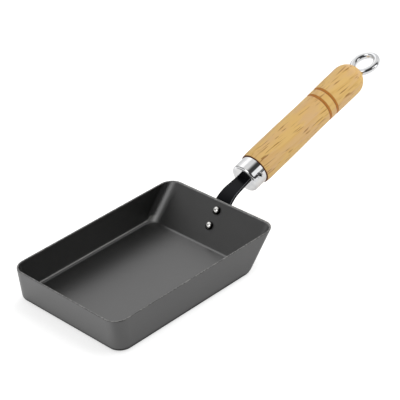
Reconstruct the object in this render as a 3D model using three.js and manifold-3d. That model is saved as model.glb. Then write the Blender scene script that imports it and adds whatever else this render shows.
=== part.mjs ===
// Rolled-omelette pan: a pressed steel tray, a riveted neck strap, and a turned wood handle with a
// chrome ferrule at its front and a hanging eye at its end.
// Millimetres, +Z up. The origin is the middle of the base and +X runs towards the handle.
import * as THREE from 'three';
import { mergeVertices } from 'three/addons/utils/BufferGeometryUtils.js';
import Module from 'manifold-3d';

const wasm = await Module();
wasm.setup();

// Pressed tray. The base is measured between the wall planes, where they meet it.
const baseLength = 155.2;
const baseWidth = 129.1;
const trayHeight = 31.3;
const frontLean = 1.9; // outward lean of each wall over the tray's height
const sideLean = 0.45;
const endLean = 29.9; // the wall at the handle slopes, so that the roll slides out
const sheet = 1.6;
const bottomBend = 4.8; // outer radius between base and walls
const rimCorner = 13; // outer radius of the corners at the rim, in plan

// Neck strap, bent from flat bar. From the start of the bend to the ferrule it narrows to the tang.
const strapWidth = 17.8;
const tangWidth = 13.6;
const strapThickness = 2.8;
const strapLift = 0.6; // the tang's middle plane, above the handle's axis
const strapEdge = 0.7; // rounding along the strap's edges
const neckRise = 6.4; // from the rim to the bend, along the slope
const neckBend = 31; // radius of the bend, on the strap's middle line
const neckLength = 22.3; // from the bend to the ferrule
const tangDepth = 57; // length of strap inside ferrule and wood
const handleAngle = 16; // degrees above level

// Rivets
const rivetFromRim = 10; // upper rivet, down the slope
const rivetPitch = 14.7;
const rivetToEnd = 9.5; // lower rivet to the strap's lower end
const rivetShank = 5;
const rivetHead = 7.6;
const rivetHeadHeight = 2.8;
const rivetHeadEdge = 0.8; // upright edge below the dome

// Ferrule
const ferruleDiameter = 28;
const ferruleLength = 14.8;
const ferruleWall = 0.8;
const ferruleRounding = 2.6;

// Ferrule screw, driven through the ferrule into the wood beside the tang
const screwFromFront = 8.3;
const screwAngle = 72.5; // degrees from straight up, towards the near side
const screwShank = 3;
const screwLength = 5.6; // below the head
const screwPoint = 3;
const screwHead = 5.8;
const screwHeadHeight = 1.5;
const screwHeadEdge = 0.3;
const recessLength = 3.4;
const recessWidth = 1.1;
const recessDepth = 1;

// Wood handle. Distances run from the shoulder behind the ferrule, or from the round end.
const woodLength = 146.4;
const shoulderDiameter = 30.2;
const gripDiameter = 31;
const waistDiameter = 30.2;
const tailDiameter = 31.2;
const shoulderEase = 6; // length over which the shoulder swells to the grip
const gripEnd = 34;
const waistFromEnd = 66.4;
const tailFromEnd = 30.4;
const grooveFromEnd = 47.6; // the groove nearest the end
const groovePitch = 9.6;
const grooveWidth = 3;
const grooveDepth = 0.8;
const grooveCount = 2;

// Hanging eye: an oval ring of round bar on a pointed stem
const eyeLength = 24.9; // on the bar's middle line
const eyeWidth = 20.8;
const eyeBar = 6.4;
const eyeSink = 0.9; // how far the bar's middle line dips below the dome's top
const stemDiameter = 5;
const stemLength = 26;
const stemPoint = 5;

// Fits
const seatGap = 0.3; // between faces that touch, and around shanks, tang and stem

// Fineness
const roundSteps = 48;
const smallRoundSteps = 24;
const cornerSteps = 8;
const bendSteps = 6;
const domeSteps = 8;
const swellSteps = 3;
const edgeSteps = 3;
const ringSteps = 44;
const barSteps = 14;

const weldTolerance = 1e-4;
const beyond = 1; // how far a cutter runs past the face that it cuts

const quarterTurn = Math.PI / 2;
const slopeAngle = Math.atan2(trayHeight, endLean);
const handleTilt = THREE.MathUtils.degToRad(handleAngle);
const screwTilt = THREE.MathUtils.degToRad(screwAngle);
const neckTurn = slopeAngle - handleTilt;
const strapMiddle = -seatGap - strapThickness / 2; // below the outer face of the sloping wall

// Stations along the handle's axis, from the bend in the strap
const ferruleFront = neckLength;
const spigotFront = ferruleFront + ferruleWall + seatGap;
const woodShoulder = ferruleFront + ferruleLength + seatGap;
const woodEnd = woodShoulder + woodLength;
const tangEnd = ferruleFront + tangDepth;
const eyeCentre = woodEnd - eyeSink + eyeLength / 2;

function solid(geometry) {
  const bare = geometry.clone();
  bare.deleteAttribute('normal');
  bare.deleteAttribute('uv');
  const welded = mergeVertices(bare, weldTolerance);
  const corners = welded.index.array;
  const triangles = [];
  for (let i = 0; i < corners.length; i += 3) {
    const [a, b, c] = corners.slice(i, i + 3);
    if (a !== b && b !== c && c !== a) {
      triangles.push(a, b, c);
    }
  }
  const mesh = new wasm.Mesh({
    numProp: 3,
    vertProperties: welded.attributes.position.array,
    triVerts: Uint32Array.from(triangles),
  });
  return new wasm.Manifold(mesh);
}

function geometryOf(body) {
  const mesh = body.getMesh();
  const geometry = new THREE.BufferGeometry();
  geometry.setAttribute('position', new THREE.Float32BufferAttribute(mesh.vertProperties, 3));
  geometry.setIndex(Array.from(mesh.triVerts));
  geometry.computeVertexNormals();
  return geometry;
}

function piece(name, body, colour, roughness, metalness) {
  const material = new THREE.MeshStandardMaterial({ color: colour, roughness, metalness });
  const mesh = new THREE.Mesh(geometryOf(body), material);
  mesh.name = name;
  return mesh;
}

// A closed skin over rings of points. Each end is closed by a flat fan, or the last ring joins the first.
function skin(rings, endless) {
  const count = rings[0].length;
  const points = rings.flat();
  const faces = [];
  const bands = endless ? rings.length : rings.length - 1;
  for (let i = 0; i < bands; i += 1) {
    const low = i * count;
    const high = ((i + 1) % rings.length) * count;
    for (let j = 0; j < count; j += 1) {
      const k = (j + 1) % count;
      faces.push(low + j, low + k, high + k, low + j, high + k, high + j);
    }
  }
  if (!endless) {
    const last = (rings.length - 1) * count;
    const first = points.push(middleOf(rings[0])) - 1;
    const final = points.push(middleOf(rings[rings.length - 1])) - 1;
    for (let j = 0; j < count; j += 1) {
      const k = (j + 1) % count;
      faces.push(first, k, j, final, last + j, last + k);
    }
  }
  const geometry = new THREE.BufferGeometry().setFromPoints(points);
  geometry.setIndex(faces);
  return geometry;
}

function middleOf(ring) {
  const sum = ring.reduce((total, point) => total.add(point), new THREE.Vector3());
  return sum.divideScalar(ring.length);
}

// A profile of (distance along the axis, radius) turned about the X axis
function turned(profile, steps) {
  const points = profile.map(([along, radius]) => new THREE.Vector2(radius, along));
  return new THREE.LatheGeometry(points, steps).rotateZ(-quarterTurn);
}

// The same, standing on the Z axis
function upright(profile, steps) {
  return turned(profile, steps).rotateY(-quarterTurn);
}

function box(low, high) {
  const size = new THREE.Vector3().subVectors(high, low);
  const centre = new THREE.Vector3().addVectors(low, high).multiplyScalar(0.5);
  return solid(new THREE.BoxGeometry(size.x, size.y, size.z).translate(centre.x, centre.y, centre.z));
}

// An arc about a middle point, as (along, radius) pairs
function arc(along, radius, size, from, to, steps) {
  return Array.from({ length: steps + 1 }, (_, i) => {
    const angle = from + ((to - from) * i) / steps;
    return [along + size * Math.cos(angle), radius + size * Math.sin(angle)];
  });
}

// Outward distance of a wall's surface from the edge of the base, at a height and a depth into the sheet
function wallOut(height, depth, lean) {
  const tilt = Math.atan2(lean, trayHeight);
  const bendMiddle = (-bottomBend * (1 - Math.sin(tilt))) / Math.cos(tilt);
  const bend = bottomBend - depth;
  const turn = Math.acos(THREE.MathUtils.clamp((bottomBend - height) / bend, -1, 1));
  if (turn < quarterTurn - tilt) {
    return bendMiddle + bend * Math.sin(turn);
  }
  return height * Math.tan(tilt) - depth / Math.cos(tilt);
}

// The tray's outline at a height, as a rectangle with round corners that narrow towards the base
function trayRing(height, depth) {
  const front = -baseLength / 2 - wallOut(height, depth, frontLean);
  const end = baseLength / 2 + wallOut(height, depth, endLean);
  const sideOut = wallOut(height, depth, sideLean);
  const side = baseWidth / 2 + sideOut;
  const corner = Math.max(rimCorner - sideLean + sideOut, 0);
  const middles = [
    [end - corner, side - corner],
    [front + corner, side - corner],
    [front + corner, corner - side],
    [end - corner, corner - side],
  ];
  return middles.flatMap(([x, y], quarter) =>
    Array.from({ length: cornerSteps + 1 }, (_, i) => {
      const angle = quarterTurn * (quarter + i / cornerSteps);
      return new THREE.Vector3(x + corner * Math.cos(angle), y + corner * Math.sin(angle), height);
    }),
  );
}

function trayRings(depth) {
  const bend = bottomBend - depth;
  const fullTurn = quarterTurn - Math.atan2(sideLean, trayHeight);
  const rings = Array.from({ length: bendSteps + 1 }, (_, i) =>
    trayRing(bottomBend - bend * Math.cos((fullTurn * i) / bendSteps), depth),
  );
  return [...rings, trayRing(trayHeight, depth)];
}

const rivetStations = [-rivetFromRim, -rivetFromRim - rivetPitch];

// Clearance holes for the rivets, in the frame of the sloping wall
function rivetHoles() {
  const reach = sheet + seatGap + strapThickness + beyond; // past either face
  const radius = rivetShank / 2 + seatGap;
  const holes = rivetStations.map((station) => {
    const hole = new THREE.CylinderGeometry(radius, radius, 2 * reach, smallRoundSteps);
    return solid(hole.rotateX(quarterTurn).translate(station, 0, 0));
  });
  return wasm.Manifold.union(holes);
}

function trayBody(wallFrame) {
  const shell = solid(skin([...trayRings(0), ...trayRings(sheet).reverse()], false));
  const holes = solid(geometryOf(rivetHoles()).applyMatrix4(wallFrame.matrixWorld));
  return shell.subtract(holes);
}

// The bend in the strap, in the frame of the sloping wall: +X up the slope, +Z into the tray
const bendTangent = neckBend * Math.tan(neckTurn / 2);
const bendStart = neckRise - bendTangent;
const bendMiddle = strapMiddle - neckBend;

// A point on the straight part of the neck, at a distance from the bend's corner and a height over its middle
function onNeck(distance, height) {
  const along = new THREE.Vector2(Math.cos(neckTurn), -Math.sin(neckTurn));
  const across = new THREE.Vector2(Math.sin(neckTurn), Math.cos(neckTurn));
  const corner = new THREE.Vector2(neckRise, strapMiddle);
  return corner.addScaledVector(along, distance).addScaledVector(across, height);
}

// The strap's section with round edges, turned down by an angle about its middle
function strapSection(middle, turn, width) {
  const side = width / 2 - strapEdge;
  const face = strapThickness / 2 - strapEdge;
  const corners = [[side, face], [-side, face], [-side, -face], [side, -face]];
  return corners.flatMap(([y, rise], quarter) =>
    Array.from({ length: edgeSteps + 1 }, (_, i) => {
      const angle = quarterTurn * (quarter + i / edgeSteps);
      const height = rise + strapEdge * Math.sin(angle);
      return new THREE.Vector3(
        middle.x + height * Math.sin(turn),
        y + strapEdge * Math.cos(angle),
        middle.y + height * Math.cos(turn),
      );
    }),
  );
}

function strapBody() {
  const start = rivetStations[1] - rivetToEnd;
  const narrowing = neckBend * neckTurn + ferruleFront - bendTangent;
  const sections = [strapSection(new THREE.Vector2(start, strapMiddle), 0, strapWidth)];
  for (let i = 0; i <= bendSteps; i += 1) {
    const turn = (neckTurn * i) / bendSteps;
    const middle = new THREE.Vector2(
      bendStart + neckBend * Math.sin(turn),
      bendMiddle + neckBend * Math.cos(turn),
    );
    const width = THREE.MathUtils.lerp(strapWidth, tangWidth, (neckBend * turn) / narrowing);
    sections.push(strapSection(middle, turn, width));
  }
  sections.push(strapSection(onNeck(ferruleFront, 0), neckTurn, tangWidth));
  sections.push(strapSection(onNeck(tangEnd, 0), neckTurn, tangWidth));
  return solid(skin(sections, false)).subtract(strapEndWaste(start)).subtract(rivetHoles());
}

// What is cut away to leave the strap's lower end half round
function strapEndWaste(start) {
  const reach = strapWidth / 2;
  const rise = strapThickness / 2 + beyond;
  const low = new THREE.Vector3(start - beyond, -reach - beyond, strapMiddle - rise);
  const high = new THREE.Vector3(start + reach, reach + beyond, strapMiddle + rise);
  const round = new THREE.CylinderGeometry(reach, reach, 2 * (rise + beyond), roundSteps);
  const kept = solid(round.rotateX(quarterTurn).translate(start + reach, 0, strapMiddle));
  return box(low, high).subtract(kept);
}

// A low dome on a short upright edge, as (along, radius) pairs from the edge's foot to the top
function domeProfile(foot, diameter, height, edge, direction) {
  const reach = diameter / 2;
  const rise = height - edge;
  const ball = (reach * reach + rise * rise) / (2 * rise);
  const spread = Math.asin(reach / ball);
  const points = [[foot, reach]];
  for (let i = 0; i <= domeSteps; i += 1) {
    const angle = spread * (1 - i / domeSteps);
    points.push([foot + direction * (height - ball + ball * Math.cos(angle)), ball * Math.sin(angle)]);
  }
  return points;
}

// A rivet across the wall and the strap, with a dome at each end
function rivetBody() {
  const inner = sheet + seatGap;
  const outer = -2 * seatGap - strapThickness;
  const shank = rivetShank / 2;
  const head = domeProfile(inner, rivetHead, rivetHeadHeight, rivetHeadEdge, 1);
  const tail = domeProfile(outer, rivetHead, rivetHeadHeight, rivetHeadEdge, -1).reverse();
  return solid(upright([...tail, [outer, shank], [inner, shank], ...head], smallRoundSteps));
}

// Closed cup with a slot for the strap and a hole for the screw
function ferruleBody() {
  const reach = ferruleDiameter / 2;
  const back = ferruleFront + ferruleLength;
  const bore = ferruleRounding - ferruleWall;
  const middle = ferruleFront + ferruleRounding;
  const inside = reach - ferruleRounding;
  const cup = solid(
    turned(
      [
        [ferruleFront, 0],
        ...arc(middle, inside, ferruleRounding, Math.PI, quarterTurn, bendSteps),
        [back, reach],
        [back, reach - ferruleWall],
        ...arc(middle, inside, bore, quarterTurn, Math.PI, bendSteps),
        [ferruleFront + ferruleWall, 0],
      ],
      roundSteps,
    ),
  );
  return cup.subtract(tangSlot(ferruleFront - beyond, spigotFront + beyond)).subtract(screwHole());
}

// Clearance around the strap, between two stations along the handle
function tangSlot(from, to) {
  const wide = tangWidth / 2 + seatGap;
  const thick = strapThickness / 2 + seatGap;
  const low = new THREE.Vector3(from, -wide, strapLift - thick);
  return box(low, new THREE.Vector3(to, wide, strapLift + thick));
}

const screwStation = ferruleFront + screwFromFront;
const screwSeat = ferruleDiameter / 2 + seatGap; // under the head, out from the handle's axis
const screwTip = screwSeat - screwLength;

// Clearance hole for the screw, in the handle's frame
function screwHole() {
  const radius = screwShank / 2 + seatGap;
  const low = screwTip - seatGap;
  const high = screwSeat + beyond;
  const hole = upright([[low, 0], [low, radius], [high, radius], [high, 0]], smallRoundSteps);
  return solid(hole.rotateX(screwTilt).translate(screwStation, 0, 0));
}

// The screw, standing on the Z axis with its head up
function screwBody() {
  const shank = screwShank / 2;
  const top = screwSeat + screwHeadHeight;
  const head = domeProfile(screwSeat, screwHead, screwHeadHeight, screwHeadEdge, 1);
  const profile = [[screwTip, 0], [screwTip + screwPoint, shank], [screwSeat, shank], ...head];
  const long = recessLength / 2;
  const wide = recessWidth / 2;
  const low = top - recessDepth;
  const high = top + beyond;
  const recess = box(new THREE.Vector3(-long, -wide, low), new THREE.Vector3(long, wide, high));
  const crossing = box(new THREE.Vector3(-wide, -long, low), new THREE.Vector3(wide, long, high));
  return solid(upright(profile, smallRoundSteps)).subtract(recess.add(crossing));
}

// Stations along the wood, from the shoulder, each with its diameter
const swells = [
  [0, shoulderDiameter],
  [shoulderEase, gripDiameter],
  [gripEnd, gripDiameter],
  [woodLength - waistFromEnd, waistDiameter],
  [woodLength - tailFromEnd, tailDiameter],
];

// Radius of the wood in front of the dome, eased from each station to the next
function woodRadius(distance) {
  const next = swells.findIndex(([station]) => station > distance);
  if (next === -1) {
    return tailDiameter / 2;
  }
  const [from, before] = swells[next - 1];
  const [to, after] = swells[next];
  return THREE.MathUtils.lerp(before, after, THREE.MathUtils.smoothstep(distance, from, to)) / 2;
}

function woodProfile() {
  const spigot = ferruleDiameter / 2 - ferruleWall - seatGap;
  const middle = spigotFront + ferruleRounding;
  const inside = spigot - ferruleRounding;
  const dome = tailDiameter / 2;
  const profile = [
    [spigotFront, 0],
    ...arc(middle, inside, ferruleRounding, Math.PI, quarterTurn, bendSteps),
    [woodShoulder, spigot],
  ];
  for (let i = 1; i < swells.length; i += 1) {
    for (let j = 0; j < swellSteps; j += 1) {
      const distance = THREE.MathUtils.lerp(swells[i - 1][0], swells[i][0], j / swellSteps);
      profile.push([woodShoulder + distance, woodRadius(distance)]);
    }
  }
  profile.push([woodEnd - tailFromEnd, dome]);
  profile.push(...arc(woodEnd - dome, 0, dome, quarterTurn, 0, domeSteps));
  return profile;
}

// A round-bottomed groove turned into the wood
function groove(distance) {
  const tool = (grooveWidth ** 2 / 4 + grooveDepth ** 2) / (2 * grooveDepth);
  const middle = woodRadius(distance) - grooveDepth + tool;
  const ring = new THREE.TorusGeometry(middle, tool, smallRoundSteps / 2, roundSteps);
  return solid(ring.rotateY(quarterTurn).translate(woodShoulder + distance, 0, 0));
}

function woodBody() {
  let wood = solid(turned(woodProfile(), roundSteps));
  for (let i = 0; i < grooveCount; i += 1) {
    wood = wood.subtract(groove(woodLength - grooveFromEnd - i * groovePitch));
  }
  const slot = tangSlot(spigotFront - beyond, tangEnd + seatGap);
  return wood.subtract(slot).subtract(screwHole()).subtract(eyeBody(seatGap));
}

// The hanging eye, or with an allowance the seat that it needs
function eyeBody(allowance) {
  const bar = eyeBar / 2 + allowance;
  const long = eyeLength / 2;
  const wide = eyeWidth / 2;
  const rings = Array.from({ length: ringSteps }, (_, i) => {
    const angle = (2 * Math.PI * i) / ringSteps;
    const place = new THREE.Vector3(eyeCentre + long * Math.cos(angle), wide * Math.sin(angle), 0);
    const outward = new THREE.Vector3(wide * Math.cos(angle), long * Math.sin(angle), 0).normalize();
    return Array.from({ length: barSteps }, (_unused, j) => {
      const turn = (-2 * Math.PI * j) / barSteps;
      const point = place.clone().addScaledVector(outward, bar * Math.cos(turn));
      return point.setZ(bar * Math.sin(turn));
    });
  });
  const stem = stemDiameter / 2 + allowance;
  const root = eyeCentre - long;
  const point = root - stemLength - allowance;
  const shank = turned([[point, 0], [point + stemPoint, stem], [root, stem], [root, 0]], smallRoundSteps);
  return solid(skin(rings, true)).add(solid(shank));
}

const wallFrame = new THREE.Group();
wallFrame.position.set(baseLength / 2 + endLean, 0, trayHeight);
wallFrame.rotation.y = -slopeAngle;
wallFrame.updateMatrixWorld();

const handleFrame = new THREE.Group();
const axisStart = onNeck(0, -strapLift);
handleFrame.position.set(axisStart.x, 0, axisStart.y);
handleFrame.rotation.y = neckTurn;

const screw = piece('ferrule_screw', screwBody(), 0xd4d5d6, 0.15, 1);
screw.position.x = screwStation;
screw.rotation.x = screwTilt;

handleFrame.add(
  piece('ferrule', ferruleBody(), 0xdedfe0, 0.08, 1),
  screw,
  piece('wooden_handle', woodBody(), 0xd8ab6c, 0.5, 0),
  piece('hanging_eye', eyeBody(0), 0xdedfe0, 0.08, 1),
);

const rivets = ['upper_rivet', 'lower_rivet'].map((name, i) => {
  const rivet = piece(name, rivetBody(), 0xc4c3c0, 0.18, 1);
  rivet.position.x = rivetStations[i];
  return rivet;
});

wallFrame.add(piece('neck_strap', strapBody(), 0x15171b, 0.3, 0), ...rivets, handleFrame);

const pan = new THREE.Group();
pan.add(piece('pan_body', trayBody(wallFrame), 0x60615d, 0.5, 0.3), wallFrame);

export default pan;
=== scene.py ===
from math import acos, asin, atan2, cos, pi, radians, sin, sqrt, tan

import bmesh
import bpy
from bmesh.types import BMEdge, BMFace, BMVert
from mathutils import Color, Matrix, Quaternion, Vector


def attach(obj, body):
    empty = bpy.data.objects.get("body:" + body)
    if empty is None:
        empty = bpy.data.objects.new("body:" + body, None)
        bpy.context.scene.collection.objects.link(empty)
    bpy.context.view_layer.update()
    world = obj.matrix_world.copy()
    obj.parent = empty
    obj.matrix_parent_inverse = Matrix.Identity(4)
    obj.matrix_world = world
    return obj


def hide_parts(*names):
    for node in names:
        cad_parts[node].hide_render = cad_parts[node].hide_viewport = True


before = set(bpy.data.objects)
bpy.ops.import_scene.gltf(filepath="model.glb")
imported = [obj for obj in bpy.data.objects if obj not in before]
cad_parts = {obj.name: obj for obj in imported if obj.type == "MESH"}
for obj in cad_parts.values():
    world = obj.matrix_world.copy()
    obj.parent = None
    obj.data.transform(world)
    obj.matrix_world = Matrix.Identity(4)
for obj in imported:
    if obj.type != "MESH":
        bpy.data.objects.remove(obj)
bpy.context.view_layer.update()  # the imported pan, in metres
scene = bpy.context.scene
scene.view_settings.view_transform = "Standard"
print("frame loaded:", ", ".join(sorted(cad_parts)))

# Camera at the photograph's viewing angle
cameraView = {
    "aim": (0.0886, 0.0088, 0.0378),
    "azimuth": radians(-42.865),  # from looking along +Y
    "elevation": radians(31.155),
    "roll": radians(-4.36),
    "distance": 1.3546,
    "lens": 140.41,  # millimetres
    "sensor": 36.0,
}


def makeCamera(view):
    flat = cos(view["elevation"])
    back = Vector((sin(view["azimuth"]) * flat, -cos(view["azimuth"]) * flat, sin(view["elevation"])))
    data = bpy.data.cameras.new("photoCamera")
    data.lens = view["lens"]
    data.sensor_width = view["sensor"]
    camera = bpy.data.objects.new("photoCamera", data)
    camera.location = Vector(view["aim"]) + back * view["distance"]
    camera.rotation_mode = "QUATERNION"
    camera.rotation_quaternion = back.to_track_quat("Z", "Y") @ Quaternion((0, 0, 1), view["roll"])
    scene.collection.objects.link(camera)
    scene.camera = camera


makeCamera(cameraView)
print("camera set")


# Shader maths
class Signal:  # one shader socket, so that sums on it add Math nodes
    def __init__(self, shader, socket):
        self.shader = shader
        self.socket = socket

    def sum(self, operation, first, second):
        return self.shader.node("Math", {"operation": operation}, {0: first, 1: second})

    def __add__(self, other):
        return self.sum("ADD", self, other)

    def __radd__(self, other):
        return self.sum("ADD", other, self)

    def __sub__(self, other):
        return self.sum("SUBTRACT", self, other)

    def __rsub__(self, other):
        return self.sum("SUBTRACT", other, self)

    def __mul__(self, other):
        return self.sum("MULTIPLY", self, other)

    def __rmul__(self, other):
        return self.sum("MULTIPLY", other, self)

    def __truediv__(self, other):
        return self.sum("DIVIDE", self, other)

    def __rtruediv__(self, other):
        return self.sum("DIVIDE", other, self)

    def __pow__(self, other):
        return self.sum("POWER", self, other)

    def __abs__(self):
        return self.shader.node("Math", {"operation": "ABSOLUTE"}, {0: self})

    def atLeast(self, other):
        return self.sum("MAXIMUM", self, other)

    def out(self, name):  # another output of the same node
        return Signal(self.shader, self.socket.node.outputs[name])

    def ease(self, low, high):  # 0 at low, 1 at high, smooth between
        limits = {"Value": self, "From Min": low, "From Max": high}
        return self.shader.node("MapRange", {"interpolation_type": "SMOOTHSTEP"}, limits)


class Shader:  # the nodes of a material or of the world
    mixSockets = {"factor": 0, "first": 6, "second": 7, "result": 2}

    def __init__(self, owner):
        owner.use_nodes = True
        self.tree = owner.node_tree
        self.tree.nodes.clear()

    def node(self, kind, settings=None, sockets=None, output=0):
        made = self.tree.nodes.new("ShaderNode" + kind)
        for name, value in (settings or {}).items():
            setattr(made, name, value)
        for name, value in (sockets or {}).items():
            if isinstance(value, Signal):
                self.tree.links.new(value.socket, made.inputs[name])
            else:
                made.inputs[name].default_value = value
        return Signal(self, made.outputs[output]) if made.outputs else None

    def blend(self, factor, first, second):
        named = self.mixSockets
        sockets = {named["factor"]: factor, named["first"]: first, named["second"]: second}
        return self.node("Mix", {"data_type": "RGBA"}, sockets, named["result"])

    def noise(self, place, scale, detail=2.0):
        return self.node("TexNoise", None, {"Vector": place, "Scale": scale, "Detail": detail})

    def surface(self, sockets):
        coat = self.node("BsdfPrincipled", None, sockets)
        self.node("OutputMaterial", None, {"Surface": coat})


def paint(red, green, blue):  # a colour as it shows on the screen, 0 to 255
    return (*Color((red / 255, green / 255, blue / 255)).from_srgb_to_scene_linear(), 1.0)


coatLook = {
    "deep": paint(15, 15, 14),
    "pale": paint(21, 21, 20),
    # colour of the rim's dots: worn coat, and painted glints along the edge
    "rim": paint(192, 190, 184),
    "rimBand": 0.0005,  # how far down the worn and glinting rim runs
    "rimWearAndGlint": 0.3,
    "chipScale": 620.0,
    "chipEase": (0.45, 0.6),
    "bendHighlight": paint(112, 112, 109),  # painted highlight along the long inner bends
    "bendHighlightFrom": (0.30, 0.42),  # by the upward part of the normal
    "bendHighlightTo": (0.56, 0.78),
    "bendHighlightInward": (-0.01, -0.03),  # by the normal's y times the place's y
    "bendHighlightTop": (0.006, 0.008),
    "cloudScale": 24.0,
    "cloudDetail": 4.0,
    "cloudEase": (0.3, 0.7),
    "grainScale": 2400.0,
    "roughness": 0.335,
    "roughnessDrift": 0.05,
    "ior": 2.17,
    "bumpDepth": 0.00003,
}


def coatedSteel(look, rimHeight):
    material = bpy.data.materials.new("coatedSteel")
    shader = Shader(material)
    place = shader.node("TexCoord", output="Object")
    cloud = shader.noise(place, look["cloudScale"], look["cloudDetail"])
    grain = shader.noise(place, look["grainScale"])
    height = shader.node("SeparateXYZ", None, {"Vector": place}, "Z")
    chips = shader.noise(place, look["chipScale"]).ease(*look["chipEase"])
    # the rim is lighter in dots: partly wear of the coat, partly painted glints along its edge
    wornAndGlinting = height.ease(rimHeight - look["rimBand"], rimHeight) * chips * look["rimWearAndGlint"]
    colour = shader.blend(cloud.ease(*look["cloudEase"]), look["deep"], look["pale"])
    colour = shader.blend(wornAndGlinting, colour, look["rim"])
    facing = shader.node("NewGeometry", output="Normal")
    upward = shader.node("SeparateXYZ", None, {"Vector": facing}, "Z")
    # painted highlight: the coat is lighter along the inner bends of the two long walls
    inward = (upward.out("Y") * height.out("Y")).ease(*look["bendHighlightInward"])
    bent = upward.ease(*look["bendHighlightFrom"]) * (1 - upward.ease(*look["bendHighlightTo"]))
    bendHighlight = bent * inward * (1 - height.ease(*look["bendHighlightTop"]))
    colour = shader.blend(bendHighlight, colour, look["bendHighlight"])
    bump = shader.node("Bump", None, {"Distance": look["bumpDepth"], "Height": grain})
    shader.surface({
        "Base Color": colour,
        "Roughness": look["roughness"] + (cloud - 0.5) * look["roughnessDrift"],
        "IOR": look["ior"],
        "Normal": bump,
    })
    return material


blackLook = {
    "deep": paint(4, 5, 10),
    "pale": paint(8, 9, 16),
    "cloudScale": 60.0,
    "cloudDetail": 3.0,
    "cloudEase": (0.3, 0.7),
    "peelScale": 900.0,  # orange peel of the sprayed paint
    "arrisHighlight": paint(128, 130, 134),  # painted highlight along the bar's rounded edges
    "arrisHighlightFrom": (0.30, 0.48),  # by the sideways part of the normal
    "arrisHighlightTo": (0.66, 0.82),
    "roughness": 0.22,
    "roughnessDrift": 0.08,
    "specular": 0.1,
    "bumpDepth": 0.00003,
}


def glossBlack(look):
    material = bpy.data.materials.new("glossBlack")
    shader = Shader(material)
    place = shader.node("TexCoord", output="Object")
    cloud = shader.noise(place, look["cloudScale"], look["cloudDetail"])
    peel = shader.noise(place, look["peelScale"])
    bump = shader.node("Bump", None, {"Distance": look["bumpDepth"], "Height": peel})
    facing = shader.node("NewGeometry", output="Normal")
    sideways = abs(shader.node("SeparateXYZ", None, {"Vector": facing}, "Y"))
    # painted highlight along the rounded edges, where the normal turns sideways
    edge = sideways.ease(*look["arrisHighlightFrom"]) * (1 - sideways.ease(*look["arrisHighlightTo"]))
    colour = shader.blend(cloud.ease(*look["cloudEase"]), look["deep"], look["pale"])
    shader.surface({
        "Base Color": shader.blend(edge, colour, look["arrisHighlight"]),
        "Roughness": look["roughness"] + (cloud - 0.5) * look["roughnessDrift"],
        "Specular IOR Level": look["specular"],
        "Normal": bump,
    })
    return material


plateLook = {
    "deep": paint(222, 223, 225),
    "pale": paint(236, 236, 236),
    "smearScale": 140.0,
    "smearDetail": 5.0,
    "smearEase": (0.3, 0.7),
    "roughness": 0.025,
    "roughnessDrift": 0.02,
}
rivetLook = {
    "deep": paint(216, 215, 212),
    "pale": paint(236, 235, 232),
    "smearScale": 420.0,
    "smearDetail": 5.0,
    "smearEase": (0.3, 0.7),
    "roughness": 0.07,
    "roughnessDrift": 0.05,
}
darkLook = {
    "paintedDark": paint(16, 15, 15),
    "recessFrom": 0.0001,  # depth below the head's dome at which painted shade fills a recess
    "recessTo": 0.0004,
    "edgeFrom": 0.85,  # cosine of the tilt at which a painted dark reflection rings a head's edge
    "edgeTo": 0.71,
}


# Painted shade within a domed head's ball, and a painted dark reflection where tilted off an axis
def brightMetal(name, look, recess=None, axis=None):
    material = bpy.data.materials.new(name)
    shader = Shader(material)
    place = shader.node("TexCoord", output="Object")
    smear = shader.noise(place, look["smearScale"], look["smearDetail"])
    colour = shader.blend(smear.ease(*look["smearEase"]), look["deep"], look["pale"])
    if recess:
        reach = shader.node("VectorMath", {"operation": "DISTANCE"}, {0: place, 1: recess[0]}, "Value")
        depth = recess[1] - reach
        # painted shade in the recess
        mask = depth.ease(darkLook["recessFrom"], darkLook["recessTo"])
        colour = shader.blend(mask, colour, darkLook["paintedDark"])
    if axis:
        facing = shader.node("NewGeometry", output="Normal")
        tilt = shader.node("VectorMath", {"operation": "DOT_PRODUCT"}, {0: facing, 1: axis}, "Value")
        # painted dark reflection around the head's edge
        mask = tilt.ease(darkLook["edgeFrom"], darkLook["edgeTo"])
        colour = shader.blend(mask, colour, darkLook["paintedDark"])
    shader.surface({
        "Base Color": colour,
        "Metallic": 1.0,
        "Roughness": look["roughness"] + (smear - 0.5) * look["roughnessDrift"],
    })
    return material


woodLook = {
    "pale": paint(233, 193, 121),
    "golden": paint(222, 175, 94),
    "pink": paint(227, 187, 134),
    "fleck": paint(150, 98, 34),
    "burnt": paint(200, 126, 50),
    # dark brown of painted shade, in the grooves and at the shoulder
    "shadeBrown": paint(116, 64, 22),
    "grainSwing": radians(-3.0),  # how far the grain leans off the handle's axis, sideways
    "grainDip": radians(3.0),  # and downwards
    "ringMiddle": (0.012, -0.034),  # middle of the growth rings, across the grain
    "ringPitch": 0.0034,
    "ringWander": 0.0030,
    "wanderScale": (14.0, 40.0, 40.0),  # along and across the grain
    "wanderDetail": 3.0,
    "lateCurve": 2.5,  # late wood grows darker through each ring
    "lateEnd": (0.9, 1.0),
    "lateShare": 0.6,
    "streakScale": (26.0, 120.0, 120.0),
    "streakDetail": 4.0,
    "streakEase": (0.42, 0.62),
    "fleckScale": (58.0, 900.0, 900.0),
    "fleckDetail": 0.6,
    "fleckEase": (0.60, 0.70),
    "fleckShare": 0.75,
    "clusterScale": (34.0, 150.0, 150.0),  # flecks come in clusters
    "clusterDetail": 1.0,
    "clusterEase": (0.40, 0.56),
    "grooveHalf": 0.0015,
    "burnEase": (0.8, 1.1),  # in half widths of a groove, as are the next two
    "shadeBrownStart": (-1.0, -0.6),
    "shadeBrownStop": (-0.4, 0.2),
    "burnShare": 0.75,
    "burnStreak": 0.3,
    "shadeBrownShare": 0.8,
    "shoulderShadeWidth": 0.0008,
    "roughness": 0.42,
    "roughnessDrift": 0.12,
    "specular": 0.25,
    "bumpDepth": 0.00002,
}


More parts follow.
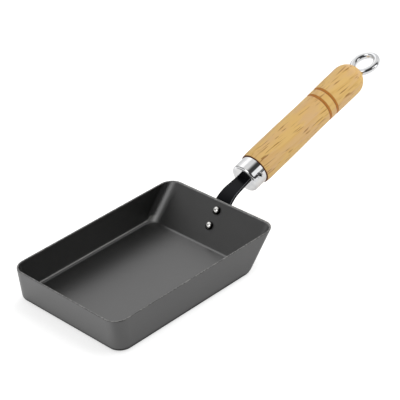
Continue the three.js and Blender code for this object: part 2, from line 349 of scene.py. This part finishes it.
def turnedWood(look, shoulder, grooves):
    material = bpy.data.materials.new("turnedWood")
    shader = Shader(material)
    place = shader.node("TexCoord", output="Object")
    lean = Matrix.Rotation(look["grainSwing"], 4, "Z") @ Matrix.Rotation(look["grainDip"], 4, "Y")

    def placed(matrix):  # coordinates in a turned frame
        sockets = {
            "Vector": place,
            "Location": matrix.to_translation(),
            "Rotation": matrix.to_euler(),
        }
        return shader.node("Mapping", {"vector_type": "TEXTURE"}, sockets)

    def figure(kind):  # noise drawn out along the grain
        drawn = shader.node("VectorMath", {"operation": "MULTIPLY"}, {0: grain, 1: look[kind + "Scale"]})
        return shader.noise(drawn, 1.0, look[kind + "Detail"])

    along = shader.node("SeparateXYZ", None, {"Vector": placed(shoulder)}, "X")
    grain = placed(shoulder @ lean)
    wander = figure("wander")
    across = shader.node("SeparateXYZ", None, {"Vector": grain}, "Y")
    sideways = across - look["ringMiddle"][0]
    upwards = across.out("Z") - look["ringMiddle"][1]
    reach = (sideways * sideways + upwards * upwards) ** 0.5 + (wander - 0.5) * look["ringWander"]
    ring = shader.node("Math", {"operation": "FRACT"}, {0: reach / look["ringPitch"]})
    late = ring ** look["lateCurve"] * (1 - ring.ease(*look["lateEnd"]))
    streak = figure("streak")
    fleck = figure("fleck").ease(*look["fleckEase"]) * figure("cluster").ease(*look["clusterEase"])
    colour = shader.blend(streak.ease(*look["streakEase"]), look["pale"], look["pink"])
    colour = shader.blend(late * look["lateShare"], colour, look["golden"])
    colour = shader.blend(fleck * look["fleckShare"], colour, look["fleck"])
    for groove in grooves:
        off = (along - groove) / look["grooveHalf"]
        burn = 1 - abs(off).ease(*look["burnEase"])
        burn = burn * (look["burnShare"] + streak * look["burnStreak"])
        colour = shader.blend(burn, colour, look["burnt"])
        # painted shade on the side of each groove towards the tray
        edge = off.ease(*look["shadeBrownStart"]) * (1 - off.ease(*look["shadeBrownStop"]))  # darker towards the tray
        colour = shader.blend(edge * look["shadeBrownShare"], colour, look["shadeBrown"])
    # painted shade on the shoulder, where the wood meets the ferrule
    shoulderShade = 1 - along.ease(0.0, look["shoulderShadeWidth"])
    colour = shader.blend(shoulderShade, colour, look["shadeBrown"])
    bump = shader.node("Bump", None, {"Distance": look["bumpDepth"], "Height": 1 - fleck})
    shader.surface({
        "Base Color": colour,
        "Roughness": look["roughness"] + (streak - 0.5) * look["roughnessDrift"],
        "Specular IOR Level": look["specular"],
        "Normal": bump,
    })
    return material


# Making a piece out of a bmesh
weld = 1e-6  # metres, under which two vertices are one
sliver = 4e-6  # and under which an edge left by a cut closes up
creaseAngle = radians(32)


def pieceFrom(name, bm, place, material):
    bmesh.ops.remove_doubles(bm, verts=bm.verts, dist=weld)
    bmesh.ops.recalc_face_normals(bm, faces=bm.faces)
    bmesh.ops.transform(bm, matrix=place, verts=bm.verts)
    mesh = bpy.data.meshes.new(name)
    bm.to_mesh(mesh)
    bm.free()
    mesh.materials.append(material)
    piece = bpy.data.objects.new(name, mesh)
    scene.collection.objects.link(piece)
    return piece


def shape(piece, tool, operation="DIFFERENCE"):  # cut a tool out of a piece, or join it on
    change = piece.modifiers.new("shape", "BOOLEAN")
    change.object = tool
    change.operation = operation
    change.solver = "EXACT"
    done = piece.evaluated_get(bpy.context.evaluated_depsgraph_get())
    piece.data = bpy.data.meshes.new_from_object(done)
    piece.modifiers.clear()
    bpy.data.objects.remove(tool)
    bm = bmesh.new()
    bm.from_mesh(piece.data)
    bmesh.ops.remove_doubles(bm, verts=bm.verts, dist=sliver)
    bmesh.ops.dissolve_degenerate(bm, dist=sliver, edges=bm.edges)
    bmesh.ops.recalc_face_normals(bm, faces=bm.faces)
    bm.to_mesh(piece.data)
    bm.free()


def dress(piece, node):
    piece.data.shade_smooth()
    piece.data.set_sharp_from_angle(angle=creaseAngle)
    even = piece.modifiers.new("evenNormals", "WEIGHTED_NORMAL")  # flat faces shade flat
    even.keep_sharp = True
    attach(piece, "root")
    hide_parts(node)
    print("piece made:", piece.name, len(piece.data.polygons), "faces")


def vertsOf(made):
    return [item for item in made if isinstance(item, BMVert)]


def bevel(bm, geom, affect, offset, segments):
    bmesh.ops.bevel(
        bm, geom=geom, affect=affect, offset=offset, segments=segments, profile=0.5, material=-1
    )


def spinRound(bm, axis, steps):  # a full turn about an axis through the origin
    geom = [*bm.verts, *bm.edges]
    bmesh.ops.spin(
        bm, geom=geom, cent=(0, 0, 0), axis=axis, angle=2 * pi, steps=steps, use_merge=True
    )


def spinProfile(points, steps, roundSteps=1):  # (along, radius, rounding) turned about the X axis
    bm = bmesh.new()
    verts = [bm.verts.new((along, 0.0, radius)) for along, radius, rounding in points]
    for pair in zip(verts, verts[1:]):
        bm.edges.new(pair)
    for vert, (along, radius, rounding) in zip(verts, points):
        if rounding:
            bevel(bm, [vert], "VERTICES", rounding, roundSteps)
    spinRound(bm, (1, 0, 0), steps)
    bmesh.ops.remove_doubles(bm, verts=bm.verts, dist=weld)
    return bm


def dome(foot, reach, height, edge, way, steps):  # low dome on a short upright edge
    rise = height - edge
    ball = (reach * reach + rise * rise) / (2 * rise)
    spread = asin(reach / ball)
    points = [(foot, reach, 0)]
    for i in range(steps + 1):
        turn = spread * (1 - i / steps)
        points.append((foot + way * (height - ball + ball * cos(turn)), ball * sin(turn), 0))
    return points


def boxTool(low, high, place, corner=0.0, cornerSteps=4):  # a block that cuts, rounded along its X edges
    bm = bmesh.new()
    bmesh.ops.create_cube(bm, size=1.0)
    bmesh.ops.scale(bm, vec=Vector(high) - Vector(low), verts=bm.verts)
    bmesh.ops.translate(bm, vec=(Vector(low) + Vector(high)) / 2, verts=bm.verts)
    if corner:
        lengthwise = [e for e in bm.edges if abs(e.verts[0].co.x - e.verts[1].co.x) > weld]
        bevel(bm, lengthwise, "EDGES", corner, cornerSteps)
    return pieceFrom("tool", bm, place, None)


seatGap = 0.0003  # between faces that touch
standUp = Matrix.Rotation(-pi / 2, 4, "Y")  # turns the X axis up to Z

# Pressed tray
tray = {
    "baseLength": 0.1552,  # between the wall planes, at the base
    "baseWidth": 0.1291,
    "height": 0.0313,
    "frontLean": 0.0019,
    "sideLean": 0.00045,
    "endLean": 0.0299,
    "sheet": 0.0016,
    "bend": 0.0048,
    "corner": 0.013,
    "bendSteps": 14,
    "cornerSteps": 16,
    "rimRound": 0.00075,
    "rimSteps": 5,
}


def wallOut(height, depth, lean):  # how far a wall's face stands out from the edge of the base
    tilt = atan2(lean, tray["height"])
    middle = -tray["bend"] * (1 - sin(tilt)) / cos(tilt)
    bend = tray["bend"] - depth
    turn = acos(max(-1.0, min(1.0, (tray["bend"] - height) / bend)))
    if turn < pi / 2 - tilt:
        return middle + bend * sin(turn)
    return height * tan(tilt) - depth / cos(tilt)


def trayCorners(height, depth):  # radius of the plan corners, and their middles by sign
    half = tray["baseLength"] / 2
    out = wallOut(height, depth, tray["sideLean"])
    radius = tray["corner"] - tray["sideLean"] + out
    side = tray["baseWidth"] / 2 + out - radius
    front = radius - half - wallOut(height, depth, tray["frontLean"])
    end = half + wallOut(height, depth, tray["endLean"]) - radius
    middles = {(x > 0, y > 0): Vector((x, y, height)) for x in (front, end) for y in (-side, side)}
    return radius, middles


def trayHeights(depth):
    bend = tray["bend"] - depth
    turn = pi / 2 - atan2(tray["sideLean"], tray["height"])
    steps = tray["bendSteps"]
    bends = [tray["bend"] - bend * cos(turn * i / steps) for i in range(steps + 1)]
    return [*bends, tray["height"]]


def nextLoop(bm, loop, before, after):  # extrude a loop of edges on to the next station
    made = bmesh.ops.extrude_edge_only(bm, edges=loop)["geom"]
    verts = vertsOf(made)
    growth = after[0] / before[0]
    grow = Matrix.Diagonal((growth, growth, 1.0, 1.0))
    groups = {corner: [v for v in verts if (v.co.x > 0, v.co.y > 0) == corner] for corner in before[1]}
    for corner, middle in before[1].items():
        move = Matrix.Translation(after[1][corner]) @ grow @ Matrix.Translation(-middle)
        bmesh.ops.transform(bm, matrix=move, verts=groups[corner])
    return [item for item in made if isinstance(item, BMEdge)]


def makeTray(material):
    sheet = tray["sheet"]
    stations = [trayCorners(height, 0.0) for height in trayHeights(0.0)]
    stations += [trayCorners(height, sheet) for height in reversed(trayHeights(sheet))]
    radius, middles = stations[0]
    bm = bmesh.new()
    verts = []
    for corner in ((False, False), (True, False), (True, True), (False, True)):
        outward = Vector([radius if side else -radius for side in corner]).to_3d()
        verts.append(bm.verts.new(middles[corner] + outward))
    bm.faces.new(verts)
    bevel(bm, verts, "VERTICES", radius, tray["cornerSteps"])
    loop = bm.edges[:]
    for before, after in zip(stations, stations[1:]):
        loop = nextLoop(bm, loop, before, after)
    bmesh.ops.edgeloop_fill(bm, edges=loop)
    bmesh.ops.recalc_face_normals(bm, faces=bm.faces)
    top = [e for e in bm.edges if min(v.co.z for v in e.verts) > tray["height"] - weld]
    rim = [e for e in top if e.calc_face_angle() > creaseAngle]
    bevel(bm, rim, "EDGES", tray["rimRound"], tray["rimSteps"])
    piece = pieceFrom("tray", bm, Matrix(), material)
    for station in rivetStations:
        shape(piece, rivetHole(station))
    dress(piece, "pan_body")


slope = atan2(tray["height"], tray["endLean"])
wallFrame = Matrix.Translation((tray["baseLength"] / 2 + tray["endLean"], 0, tray["height"]))
wallFrame = wallFrame @ Matrix.Rotation(-slope, 4, "Y")  # +X up the slope, +Z into the tray

# Neck strap and its rivets
strap = {
    "width": 0.0178,
    "tangWidth": 0.0136,  # what the neck narrows to at the ferrule
    "thickness": 0.0028,
    "lift": 0.0006,  # middle of the tang, above the handle's axis
    "edge": 0.0007,
    "edgeSteps": 4,
    "rise": 0.0064,  # rim to bend, along the slope
    "bend": 0.031,
    "bendSteps": 20,
    "endSteps": 64,
    "neck": 0.0223,  # bend to ferrule
    "tang": 0.057,  # length inside ferrule and wood
    "tilt": radians(16),  # of the handle, above level
}
rivet = {
    "fromRim": 0.01,
    "pitch": 0.0147,
    "toEnd": 0.0095,
    "shank": 0.0025,
    "head": 0.0038,
    "headHeight": 0.0028,
    "headEdge": 0.0008,
    "domeSteps": 14,
    "steps": 64,
}
rivetStations = (-rivet["fromRim"], -rivet["fromRim"] - rivet["pitch"])
strapMiddle = -seatGap - strap["thickness"] / 2
neckTurn = slope - strap["tilt"]
ferruleFront = strap["neck"]
tangEnd = ferruleFront + strap["tang"]
handleFrame = wallFrame @ Matrix.Translation((strap["rise"], 0, strapMiddle))
handleFrame = handleFrame @ Matrix.Rotation(neckTurn, 4, "Y")  # +X along the handle
handleFrame = handleFrame @ Matrix.Translation((0, 0, -strap["lift"]))
tangMiddle = Vector((0, 0, strap["lift"]))
tangReach = Vector((0, strap["tangWidth"] / 2 + seatGap, strap["thickness"] / 2 + seatGap))
tangLow = tangMiddle - tangReach
tangHigh = tangMiddle + tangReach


def pushFace(bm, face, move):  # draw the bar on from its end face
    made = bmesh.ops.extrude_face_region(bm, geom=[face])["geom"]
    bmesh.ops.transform(bm, matrix=move, verts=vertsOf(made))
    if face.is_valid:
        bmesh.ops.delete(bm, geom=[face], context="FACES_ONLY")
    return next(item for item in made if isinstance(item, BMFace))


def makeStrap(material):
    reach = strap["width"] / 2
    start = -rivet["fromRim"] - rivet["pitch"] - rivet["toEnd"]
    tangent = strap["bend"] * tan(neckTurn / 2)
    bendStart = strap["rise"] - tangent
    roundMiddle = Vector((start + reach, 0, -seatGap))
    bm = bmesh.new()
    place = Matrix.Translation(roundMiddle)
    bmesh.ops.create_circle(bm, cap_ends=True, radius=reach, segments=strap["endSteps"], matrix=place)
    everything = [*bm.verts, *bm.edges, *bm.faces]
    bmesh.ops.bisect_plane(bm, geom=everything, plane_co=roundMiddle, plane_no=(1, 0, 0), clear_outer=True)
    bmesh.ops.remove_doubles(bm, verts=bm.verts, dist=weld)
    straight = max(bm.edges, key=lambda e: e.calc_length())
    made = bmesh.ops.extrude_edge_only(bm, edges=[straight])["geom"]
    bmesh.ops.translate(bm, vec=(bendStart - roundMiddle.x, 0, 0), verts=vertsOf(made))
    bmesh.ops.dissolve_edges(bm, edges=[straight])
    made = bmesh.ops.extrude_face_region(bm, geom=bm.faces[:])["geom"]
    bmesh.ops.translate(bm, vec=(0, 0, -strap["thickness"]), verts=vertsOf(made))
    bmesh.ops.recalc_face_normals(bm, faces=bm.faces)
    face = max(bm.faces, key=lambda f: f.calc_center_median().x)
    hinge = Matrix.Translation((bendStart, 0, strapMiddle - strap["bend"]))
    arm = strap["bend"] * neckTurn
    narrowing = (strap["tangWidth"] - strap["width"]) / (arm + ferruleFront - tangent)  # per metre of neck
    width = strap["width"]
    for i in range(strap["bendSteps"]):
        onward = width + narrowing * arm / strap["bendSteps"]
        turn = hinge @ Matrix.Rotation(neckTurn / strap["bendSteps"], 4, "Y") @ hinge.inverted()
        face = pushFace(bm, face, turn @ Matrix.Diagonal((1, onward / width, 1, 1)))
        width = onward
    ahead = Vector((cos(neckTurn), 0, -sin(neckTurn)))
    narrow = Matrix.Diagonal((1, strap["tangWidth"] / width, 1, 1))
    face = pushFace(bm, face, Matrix.Translation(ahead * (ferruleFront - tangent)) @ narrow)
    pushFace(bm, face, Matrix.Translation(ahead * strap["tang"]))
    bmesh.ops.recalc_face_normals(bm, faces=bm.faces)
    sharp = [e for e in bm.edges if e.calc_face_angle() > pi / 4]
    bevel(bm, sharp, "EDGES", strap["edge"], strap["edgeSteps"])
    piece = pieceFrom("neckStrap", bm, wallFrame, material)
    for station in rivetStations:
        shape(piece, rivetHole(station))
    dress(piece, "neck_strap")


def rivetHole(station):
    radius = rivet["shank"] + seatGap
    reach = tray["sheet"] + strap["thickness"] * 2
    outline = [(-reach, 0, 0), (-reach, radius, 0), (reach, radius, 0), (reach, 0, 0)]
    place = wallFrame @ Matrix.Translation((station, 0, 0)) @ standUp
    return pieceFrom("tool", spinProfile(outline, rivet["steps"]), place, None)


def makeRivet(name, node, station, material):
    inner = tray["sheet"] + seatGap
    outer = -2 * seatGap - strap["thickness"]
    sizes = (rivet["head"], rivet["headHeight"], rivet["headEdge"])
    head = dome(inner, *sizes, 1, rivet["domeSteps"])
    tail = dome(outer, *sizes, -1, rivet["domeSteps"])
    shank = [(outer, rivet["shank"], 0), (inner, rivet["shank"], 0)]
    bm = spinProfile([*reversed(tail), *shank, *head], rivet["steps"])
    place = wallFrame @ Matrix.Translation((station, 0, 0)) @ standUp
    dress(pieceFrom(name, bm, place, material), node)


# Ferrule and its screw
ferrule = {
    "radius": 0.014,
    "length": 0.0148,
    "wall": 0.0008,
    "rounding": 0.0026,
    "lip": 0.0002,  # rounding of the open end
    "slotCorner": 0.0006,  # of the strap's slot in the front
    "roundSteps": 10,
    "steps": 128,
}
screw = {
    "fromFront": 0.0083,
    "tilt": radians(72.5),  # from straight up, towards the near side
    "shank": 0.0015,
    "length": 0.0056,
    "point": 0.003,
    "head": 0.0029,
    "headHeight": 0.0015,
    "headEdge": 0.0003,
    "recessLength": 0.0034,
    "recessWidth": 0.0011,
    "recessDepth": 0.001,
    "domeSteps": 10,
    "steps": 48,
}
screwSeat = ferrule["radius"] + seatGap
screwFrame = handleFrame @ Matrix.Translation((ferruleFront + screw["fromFront"], 0, 0))
screwFrame = screwFrame @ Matrix.Rotation(screw["tilt"], 4, "X")  # +Z out through the head


def screwHole():
    radius = screw["shank"] + seatGap
    low = screwSeat - screw["length"] - seatGap
    high = screwSeat + screw["headHeight"]
    bm = spinProfile([(low, 0, 0), (low, radius, 0), (high, radius, 0), (high, 0, 0)], screw["steps"])
    return pieceFrom("tool", bm, screwFrame @ standUp, None)


def makeFerrule(material):
    wall = ferrule["wall"]
    outside = ferrule["radius"]
    inside = outside - wall
    length = ferrule["length"]
    cup = [
        (0, 0, 0),
        (0, outside, ferrule["rounding"]),
        (length, outside, ferrule["lip"]),
        (length, inside, ferrule["lip"]),
        (wall, inside, ferrule["rounding"] - wall),
        (wall, 0, 0),
    ]
    bm = spinProfile(cup, ferrule["steps"], ferrule["roundSteps"])
    place = handleFrame @ Matrix.Translation((ferruleFront, 0, 0))
    piece = pieceFrom("ferruleCup", bm, place, material)
    through = Vector((wall, 0, 0))
    shape(piece, boxTool(tangLow - through, tangHigh + through * 2, place, ferrule["slotCorner"]))
    shape(piece, screwHole())
    dress(piece, "ferrule")


def makeScrew(material):
    tip = screwSeat - screw["length"]
    head = dome(screwSeat, screw["head"], screw["headHeight"], screw["headEdge"], 1, screw["domeSteps"])
    shank = [(tip, 0, 0), (tip + screw["point"], screw["shank"], 0), (screwSeat, screw["shank"], 0)]
    bm = spinProfile([*shank, *head], screw["steps"])
    piece = pieceFrom("ferruleScrew", bm, screwFrame @ standUp, material)
    top = screwSeat + screw["headHeight"]
    long = screw["recessLength"] / 2
    wide = screw["recessWidth"] / 2
    for x, y in ((long, wide), (wide, long)):
        low = (-x, -y, top - screw["recessDepth"])
        shape(piece, boxTool(low, (x, y, top + screw["headHeight"]), screwFrame))
    dress(piece, "ferrule_screw")


# Turned wood handle
wood = {
    "length": 0.1464,  # shoulder to round end
    "shoulder": 0.0151,  # radii
    "grip": 0.0155,
    "waist": 0.0151,
    "tail": 0.0156,
    "shoulderEase": 0.006,
    "shoulderRound": 0.0005,
    "gripEnd": 0.034,
    "waistFromEnd": 0.0664,
    "tailFromEnd": 0.0304,
    "grooveFromEnd": 0.0476,  # the groove nearest the end
    "groovePitch": 0.0096,
    "grooveCount": 2,
    "grooveWidth": 0.003,
    "grooveDepth": 0.0008,
    "pitch": 0.0004,  # between points of the outline
    "domeSteps": 24,
    "roundSteps": 6,
    "steps": 96,
}
spigotFront = ferruleFront + ferrule["wall"] + seatGap
woodShoulder = ferruleFront + ferrule["length"] + seatGap
woodEnd = woodShoulder + wood["length"]
lastGroove = wood["length"] - wood["grooveFromEnd"]
grooves = [lastGroove - i * wood["groovePitch"] for i in range(wood["grooveCount"])]
swells = [
    (0.0, wood["shoulder"]),
    (wood["shoulderEase"], wood["grip"]),
    (wood["gripEnd"], wood["grip"]),
    (wood["length"] - wood["waistFromEnd"], wood["waist"]),
    (wood["length"] - wood["tailFromEnd"], wood["tail"]),
    (wood["length"], wood["tail"]),
]


def woodRadius(distance):  # from the shoulder, eased from each swell to the next
    radius = wood["shoulder"]
    for (start, before), (end, after) in zip(swells, swells[1:]):
        if start <= distance <= end:
            share = (distance - start) / (end - start)
            radius = before + (after - before) * share * share * (3 - 2 * share)
    depth = wood["grooveDepth"]
    cutter = (wood["grooveWidth"] ** 2 / 4 + depth**2) / (2 * depth)
    for groove in grooves:
        off = abs(distance - groove)
        if off < wood["grooveWidth"] / 2:
            radius -= sqrt(cutter * cutter - off * off) - cutter + depth
    return radius


def makeWood(material):
    spigot = ferrule["radius"] - ferrule["wall"] - seatGap
    outline = [
        (spigotFront, 0, 0),
        (spigotFront, spigot, ferrule["rounding"]),
        (woodShoulder, spigot, 0),
        (woodShoulder, wood["shoulder"], wood["shoulderRound"]),
    ]
    domeStart = wood["length"] - wood["tail"]
    gripStart = wood["shoulderRound"] * 2
    count = round((domeStart - gripStart) / wood["pitch"])
    for i in range(1, count + 1):
        distance = gripStart + (domeStart - gripStart) * i / count
        outline.append((woodShoulder + distance, woodRadius(distance), 0))
    for i in range(1, wood["domeSteps"] + 1):
        turn = pi / 2 * i / wood["domeSteps"]
        reach = wood["tail"]
        outline.append((woodEnd - reach + reach * sin(turn), reach * cos(turn), 0))
    bm = spinProfile(outline, wood["steps"], wood["roundSteps"])
    piece = pieceFrom("woodHandle", bm, handleFrame, material)
    mouth = Vector((spigotFront - ferrule["rounding"], 0, 0))
    shape(piece, boxTool(tangLow + mouth, tangHigh + Vector((tangEnd + seatGap, 0, 0)), handleFrame))
    shape(piece, screwHole())
    shape(piece, eyeBody("tool", seatGap, None))
    dress(piece, "wooden_handle")


# Hanging eye
eye = {
    "length": 0.0249,  # on the bar's middle line
    "width": 0.0208,
    "bar": 0.0032,
    "sink": 0.0009,
    "stem": 0.0025,
    "stemLength": 0.026,
    "stemPoint": 0.005,
    "barSteps": 32,
    "ringSteps": 96,
}
eyeCentre = woodEnd - eye["sink"] + eye["length"] / 2


def eyeBody(name, allowance, material):
    ring = eye["width"] / 2
    stretch = eye["length"] / 2 - ring
    bm = bmesh.new()
    section = Matrix.Translation((ring, 0, 0)) @ Matrix.Rotation(pi / 2, 4, "X")
    bmesh.ops.create_circle(bm, radius=eye["bar"] + allowance, segments=eye["barSteps"], matrix=section)
    spinRound(bm, (0, 0, 1), eye["ringSteps"])
    for vert in bm.verts:  # draw the round ring out to an oval
        vert.co.x += stretch * vert.co.x / vert.co.xy.length
    piece = pieceFrom(name, bm, handleFrame @ Matrix.Translation((eyeCentre, 0, 0)), material)
    root = eyeCentre - eye["length"] / 2
    point = root - eye["stemLength"] - allowance
    radius = eye["stem"] + allowance
    stem = [(point, 0, 0), (point + eye["stemPoint"], radius, 0), (root, radius, 0), (root, 0, 0)]
    rod = pieceFrom("tool", spinProfile(stem, eye["barSteps"]), handleFrame, material)
    shape(piece, rod, "UNION")
    return piece


def makeEye(material):
    dress(eyeBody("hangingEye", 0.0, material), "hanging_eye")


headRise = screw["headHeight"] - screw["headEdge"]
headBall = (screw["head"] ** 2 + headRise**2) / (2 * headRise)  # radius of the screw's dome
headMiddle = screwFrame @ Vector((0, 0, screwSeat + screw["headHeight"] - headBall))
chrome = brightMetal("chromePlate", plateLook)
crossHead = brightMetal("screwPlate", plateLook, (headMiddle, headBall))
bright = brightMetal("rivetSteel", rivetLook, axis=wallFrame.to_3x3() @ Vector((0, 0, 1)))
makeTray(coatedSteel(coatLook, tray["height"]))
makeStrap(glossBlack(blackLook))
makeRivet("upperRivet", "upper_rivet", rivetStations[0], bright)
makeRivet("lowerRivet", "lower_rivet", rivetStations[1], bright)
makeFerrule(chrome)
makeScrew(crossHead)
makeWood(turnedWood(woodLook, handleFrame @ Matrix.Translation((woodShoulder, 0, 0)), grooves))
makeEye(chrome)

# Studio: pale floor, white room with dark corners, two soft boxes
studio = {
    "floorSize": 4.0,
    "floorDrop": 0.0003,
    "floorColour": paint(232, 232, 232),
    "floorLift": 0.62,  # added for the camera, so that the floor is white
    "mirrorLift": 0.52,  # and for what mirrors the floor
    "skyLight": 0.512,  # for matt rays
    "roomLight": 0.8,  # white of the room that bright things mirror
    "ringAim": (0.27, 0.30, 0.915),  # dark ring between the overhead diffuser and the white walls
    "ringFrom": 0.42,  # as cosines of the angle from its middle
    "ringTo": 0.66,
    "ringSoft": 0.02,
    "ringDepth": 0.86,
    "ringOpen": (0.3, 0.5),  # it fades out towards the handle, by the direction's x
    "ringStop": (0.72, 0.88),  # and at the far side, by its y
    "horizonDepth": 0.40,  # the far wall of the room is dimmer low down
    "horizonRise": (0.62, 0.25),  # by the direction's z
    "horizonSide": (0.72, 0.90),  # and its y
    "nookAim": (-0.1, -0.95, 0.3),  # dark near side of the room
    "nookFar": 0.30,
    "nookNear": 0.62,
    "nookDepth": 0.93,
    "spotAim": (-0.668, -0.20, 0.717),  # lamp over the front wall
    "spotFar": 0.935,
    "spotNear": 0.985,
    "spotGain": 1.9,
    "panelAim": (0.30, -0.82, 0.48),  # white panel at the near right
    "panelFar": 0.955,
    "panelNear": 0.98,
    "panelGain": 1.3,
    "stripAim": (0.59, -0.785, 0.19),  # bright strip low at the right
    "stripFar": 0.978,
    "stripNear": 0.993,
    "stripGain": 2.5,
    "diffuserAim": (0.58, 0.75, 0.25),  # brighter part of the far wall
    "diffuserFar": 0.85,
    "diffuserNear": 0.97,
    "diffuserGain": 0.45,
    "ceilingAim": (0.08, 0.64, 0.76),  # brighter part of the ceiling
    "ceilingFar": 0.92,
    "ceilingNear": 0.985,
    "ceilingGain": 0.65,
    "shadeDepth": 0.65,  # how much less of the floor's lift is mirrored in two places
    "shadeNear": (-0.045, -0.08),  # beside the near wall, by y
    "shadeHandle": (0.09, 0.14),  # and below the handle, by x
    "footReach": 0.005,  # how far out from the base a painted contact shadow darkens the mirrored floor
    "footDepth": 0.85,
}
overheadBox = {
    "place": (0.55, 0.12, 1.05),
    "aim": (0.08, 0.0, 0.0),
    "size": 0.8,
    "power": 4.0,
    "mirrored": False,
}
sideBox = {
    "place": (0.72, -0.90, 0.52),
    "aim": (0.1, 0.0, 0.03),
    "size": 0.75,
    "power": 3.6,
    "mirrored": False,
}


def seenDirectly(shader):  # 1 for the rays that show the background itself
    path = shader.node("LightPath", output="Is Camera Ray")
    return path + path.out("Is Glossy Ray") + path.out("Is Transmission Ray"), path


def makeWorld(look):
    world = bpy.data.worlds.new("studio")
    world.cycles.sampling_method = "NONE"  # so that each kind of ray sees its own room
    scene.world = world
    shader = Shader(world)
    seen, camera = seenDirectly(shader)
    aim = shader.node("TexCoord", output="Generated")

    def towards(direction):
        return shader.node("VectorMath", {"operation": "DOT_PRODUCT"}, {0: aim, 1: direction}, "Value")

    ringward = towards(look["ringAim"])
    soft = look["ringSoft"]
    ring = ringward.ease(look["ringFrom"] - soft, look["ringFrom"] + soft)
    ring = ring * (1 - ringward.ease(look["ringTo"] - soft, look["ringTo"] + soft))
    handleward = shader.node("SeparateXYZ", None, {"Vector": aim}, "X")
    farward = handleward.out("Y")
    ring = ring * (1 - handleward.ease(*look["ringOpen"])) * (1 - farward.ease(*look["ringStop"]))
    horizon = handleward.out("Z").ease(*look["horizonRise"]) * farward.ease(*look["horizonSide"])
    nook = towards(look["nookAim"]).ease(look["nookFar"], look["nookNear"])
    dark = (ring * look["ringDepth"]).atLeast(nook * look["nookDepth"])
    room = 1 - dark - horizon * (1 - ring) * look["horizonDepth"]
    for lamp in ("spot", "panel", "strip", "diffuser", "ceiling"):
        shine = towards(look[lamp + "Aim"]).ease(look[lamp + "Far"], look[lamp + "Near"])
        room = room + shine * look[lamp + "Gain"]
    shown = camera + (1 - camera) * room * look["roomLight"]
    strength = seen * shown + (1 - seen) * look["skyLight"]
    sky = shader.node("Background", None, {"Color": paint(255, 255, 255), "Strength": strength})
    shader.node("OutputWorld", None, {"Surface": sky})


def makeFloor(look):
    material = bpy.data.materials.new("studioFloor")
    shader = Shader(material)
    seen, camera = seenDirectly(shader)
    matt = shader.node("BsdfDiffuse", None, {"Color": look["floorColour"]})
    place = shader.node("TexCoord", output="Object")
    across = shader.node("SeparateXYZ", None, {"Vector": place}, "Y")
    along = across.out("X")
    shade = across.ease(*look["shadeNear"]).atLeast(along.ease(*look["shadeHandle"])) * look["shadeDepth"]
    corner = tray["corner"]
    pastSide = (abs(across) - tray["baseWidth"] / 2 + corner).atLeast(0.0)
    pastEnd = (abs(along) - tray["baseLength"] / 2 + corner).atLeast(0.0)
    outside = (pastSide * pastSide + pastEnd * pastEnd) ** 0.5 - corner  # from the base's rounded outline
    # painted contact shadow around the base, seen only in reflections
    foot = outside.ease(look["footReach"], 0.0) * look["footDepth"]
    mirrored = (seen - camera) * (1 - shade) * look["mirrorLift"]
    lift = shader.node("Emission", None, {"Color": camera * look["floorLift"] + mirrored})
    both = shader.node("AddShader", None, {0: matt, 1: lift})
    black = shader.node("BsdfDiffuse", None, {"Color": paint(0, 0, 0)})
    mirroredShadow = foot * camera.out("Is Glossy Ray")
    surface = shader.node("MixShader", None, {0: mirroredShadow, 1: both, 2: black})
    shader.node("OutputMaterial", None, {"Surface": surface})
    bm = bmesh.new()
    place = Matrix.Translation((0, 0, -look["floorDrop"]))
    bmesh.ops.create_grid(bm, x_segments=1, y_segments=1, size=look["floorSize"] / 2, matrix=place)
    pieceFrom("studioFloor", bm, Matrix(), material)


def makeSoftBox(name, look):
    lamp = bpy.data.lights.new(name, "AREA")
    lamp.size = look["size"]
    lamp.energy = look["power"]
    box = bpy.data.objects.new(name, lamp)
    box.location = look["place"]
    box.visible_glossy = look["mirrored"]
    box.rotation_mode = "QUATERNION"
    box.rotation_quaternion = (Vector(look["place"]) - Vector(look["aim"])).to_track_quat("Z", "Y")
    scene.collection.objects.link(box)


makeWorld(studio)
makeFloor(studio)
makeSoftBox("overheadBox", overheadBox)
makeSoftBox("sideBox", sideBox)
print("studio set")
